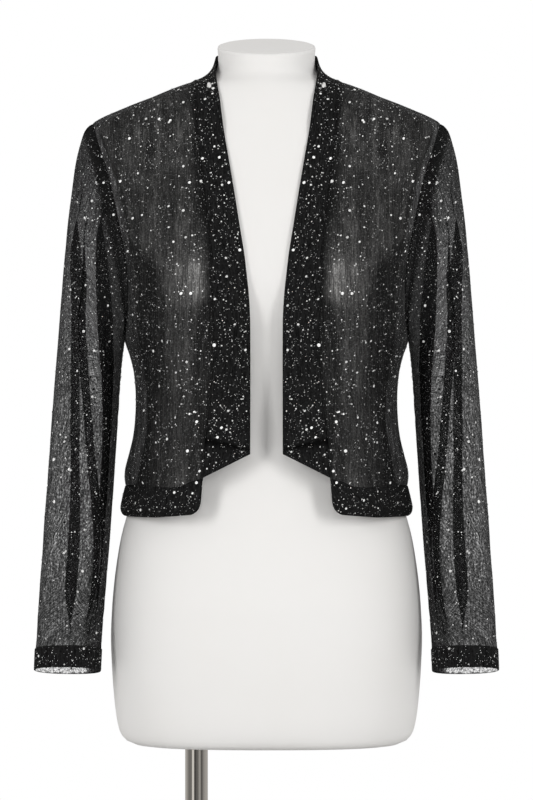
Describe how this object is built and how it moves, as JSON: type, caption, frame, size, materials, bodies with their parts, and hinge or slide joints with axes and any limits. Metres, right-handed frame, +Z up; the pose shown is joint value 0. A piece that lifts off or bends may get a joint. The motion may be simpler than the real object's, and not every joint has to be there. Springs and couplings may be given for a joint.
{
  "type": "cropped open-front bolero jacket on a dress form",
  "caption": "Sheer black crinkle-mesh cropped jacket with silver foil dots and an open front with doubled bands, on a white limbless dress form on an off-centre steel pole and round base.",
  "frame": {"origin": "centre of the base plate's underside, which is also the middle of the bounding box's lower face", "axes": "+Z up, the garment faces -Y, +X to the wearer's left"},
  "size_m": [0.5076, 0.34, 1.0016],
  "materials": {
    "sheer_mesh": "sheer crinkle mesh with silver foil dots",
    "doubled_mesh": "the same mesh, doubled, nearly opaque",
    "form_skin": "smooth matte off-white",
    "steel": "satin brushed"
  },
  "bodies": {
    "root": {"back_panel": "sheer_mesh", "front_panel_left": "sheer_mesh", "front_panel_right": "sheer_mesh", "sleeve_left": "sheer_mesh", "sleeve_right": "sheer_mesh", "front_band_left": "doubled_mesh", "front_band_right": "doubled_mesh", "hem_band": "doubled_mesh", "cuff_band_left": "doubled_mesh", "cuff_band_right": "doubled_mesh", "dress_form": "form_skin", "pole": "steel", "pole_socket": "steel", "base_plate": "steel"}
  },
  "joints": []
}
